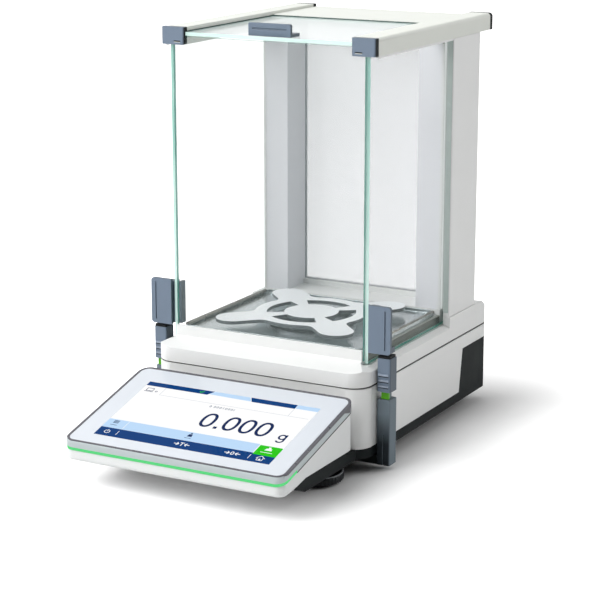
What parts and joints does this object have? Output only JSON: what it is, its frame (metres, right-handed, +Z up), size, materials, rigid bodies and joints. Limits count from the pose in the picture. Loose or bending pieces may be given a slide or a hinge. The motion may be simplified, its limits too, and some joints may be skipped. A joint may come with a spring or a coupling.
{
  "type": "precision balance",
  "caption": "Laboratory balance with a glass draft shield, sliding side and top doors, a slotted weighing pan, a tilted touch terminal and levelling feet.",
  "frame": {"origin": "on the bench, in the middle of the balance's footprint", "axes": "+Z up, +X to the balance's own right as seen from its front, -Y towards the terminal at its front"},
  "size_m": [0.2204, 0.3752, 0.3487],
  "materials": {
    "white_housing": "fine matt white paint over a moulded housing",
    "dark_plinth": "dark grey fine-textured plastic",
    "slate_plastic": "satin blue-grey plastic",
    "lever_plastic": "satin dark blue-grey plastic",
    "column_finish": "satin lavender-grey paint on aluminium profile",
    "pane": "clear float glass with teal edges",
    "screen_glass": "glossy printed touch glass",
    "silver_frame": "satin silver",
    "rim": "smoked edge of the touch panel",
    "light": "lit green light line",
    "flag": "green indicator plastic",
    "stainless": "brushed stainless steel",
    "tray_steel": "satin stainless sheet",
    "carrier_metal": "matt cast aluminium",
    "cell_alloy": "machined aluminium",
    "screw_steel": "zinc-plated steel",
    "magnet": "nickel-plated iron",
    "coil": "enamelled copper winding",
    "cal_mass": "polished steel weight",
    "board": "green circuit board",
    "display": "dark display module",
    "port_metal": "connector shells",
    "rubber": "black rubber",
    "wheel": "dark knurled plastic",
    "glide": "natural slippery plastic"
  },
  "bodies": {
    "base": {"base_tray": "dark_plinth", "lower_housing": "white_housing", "upper_housing": "white_housing", "rear_ports": "port_metal", "main_board": "board", "housing_screws": "screw_steel", "rear_feet": "rubber", "guide_rods": "screw_steel", "rod_hangers": "dark_plinth", "cell_plate": "cell_alloy", "load_cell": "cell_alloy", "load_lever": "cell_alloy", "magnet_pot": "magnet", "force_coil": "coil", "pan_spigot": "screw_steel", "calibration_motor": "port_metal", "left_column": "column_finish", "right_column": "column_finish", "left_column_cover": "column_finish", "right_column_cover": "column_finish", "left_rail": "white_housing", "right_rail": "white_housing", "left_front_cap": "slate_plastic", "right_front_cap": "slate_plastic", "rail_end_caps": "dark_plinth", "rear_top_panel": "white_housing", "rear_beam": "white_housing", "rear_glass": "pane", "front_glass": "pane", "terminal_case": "white_housing", "terminal_frame": "silver_frame", "terminal_rim": "rim", "touch_glass": "screen_glass", "display_module": "display", "terminal_board": "board", "light_guide": "light"},
    "door_yoke": {"yoke_crossbar": "dark_plinth", "left_lever": "lever_plastic", "right_lever": "lever_plastic", "lever_flags": "flag"},
    "left_coupler": {"left_coupler": "slate_plastic"},
    "right_coupler": {"right_coupler": "slate_plastic"},
    "left_door": {"left_door_glass": "pane", "left_door_handle": "slate_plastic", "left_door_glides": "glide"},
    "right_door": {"right_door_glass": "pane", "right_door_handle": "slate_plastic", "right_door_glides": "glide"},
    "top_door": {"top_door_glass": "pane", "top_door_handle": "slate_plastic"},
    "drip_tray": {"drip_tray": "tray_steel"},
    "weighing_pan": {"weighing_pan": "stainless", "pan_carrier": "carrier_metal"},
    "calibration_weight": {"calibration_weight": "cal_mass"},
    "left_foot": {"left_foot_screw": "rubber"},
    "left_wheel": {"left_foot_wheel": "wheel"},
    "right_foot": {"right_foot_screw": "rubber"},
    "right_wheel": {"right_foot_wheel": "wheel"}
  },
  "joints": [
    {"name": "yoke_slide", "type": "slide", "parent": "base", "child": "door_yoke", "axis": [0, 1, 0], "range_m": [0, 0.125]},
    {"name": "left_door_slide", "type": "slide", "parent": "base", "child": "left_door", "axis": [0, 1, 0], "range_m": [0, 0.125]},
    {"name": "right_door_slide", "type": "slide", "parent": "base", "child": "right_door", "axis": [0, 1, 0], "range_m": [0, 0.125]},
    {"name": "left_coupler_slide", "type": "slide", "parent": "door_yoke", "child": "left_coupler", "axis": [0, 0, 1], "range_m": [-0.006, 0]},
    {"name": "right_coupler_slide", "type": "slide", "parent": "door_yoke", "child": "right_coupler", "axis": [0, 0, 1], "range_m": [-0.006, 0]},
    {"name": "top_door_slide", "type": "slide", "parent": "base", "child": "top_door", "axis": [0, 1, 0], "range_m": [0, 0.12]},
    {"name": "tray_lift", "type": "slide", "parent": "base", "child": "drip_tray", "axis": [0, 0, 1], "range_m": [0, 0.05]},
    {"name": "pan_lift", "type": "slide", "parent": "drip_tray", "child": "weighing_pan", "axis": [0, 0, 1], "range_m": [0, 0.06]},
    {"name": "calibration_lift", "type": "slide", "parent": "base", "child": "calibration_weight", "axis": [0, 0, 1], "range_m": [0, 0.004]},
    {"name": "left_foot_rise", "type": "slide", "parent": "base", "child": "left_foot", "axis": [0, 0, 1], "range_m": [-0.002, 0.002]},
    {"name": "left_wheel_turn", "type": "hinge", "parent": "left_foot", "child": "left_wheel", "pos_m": [-0.067, -0.0806, 0.005], "axis": [0, 0, 1], "range_deg": [-720, 720]},
    {"name": "right_foot_rise", "type": "slide", "parent": "base", "child": "right_foot", "axis": [0, 0, 1], "range_m": [-0.002, 0.002]},
    {"name": "right_wheel_turn", "type": "hinge", "parent": "right_foot", "child": "right_wheel", "pos_m": [0.067, -0.0806, 0.005], "axis": [0, 0, 1], "range_deg": [-720, 720]}
  ],
  "couplings": [
    {"joint": "left_door_slide", "follows": "yoke_slide", "ratio": 1},
    {"joint": "right_door_slide", "follows": "yoke_slide", "ratio": 1},
    {"joint": "left_foot_rise", "follows": "left_wheel_turn", "m_per_rad": 0.00015915},
    {"joint": "right_foot_rise", "follows": "right_wheel_turn", "m_per_rad": 0.00015915}
  ]
}
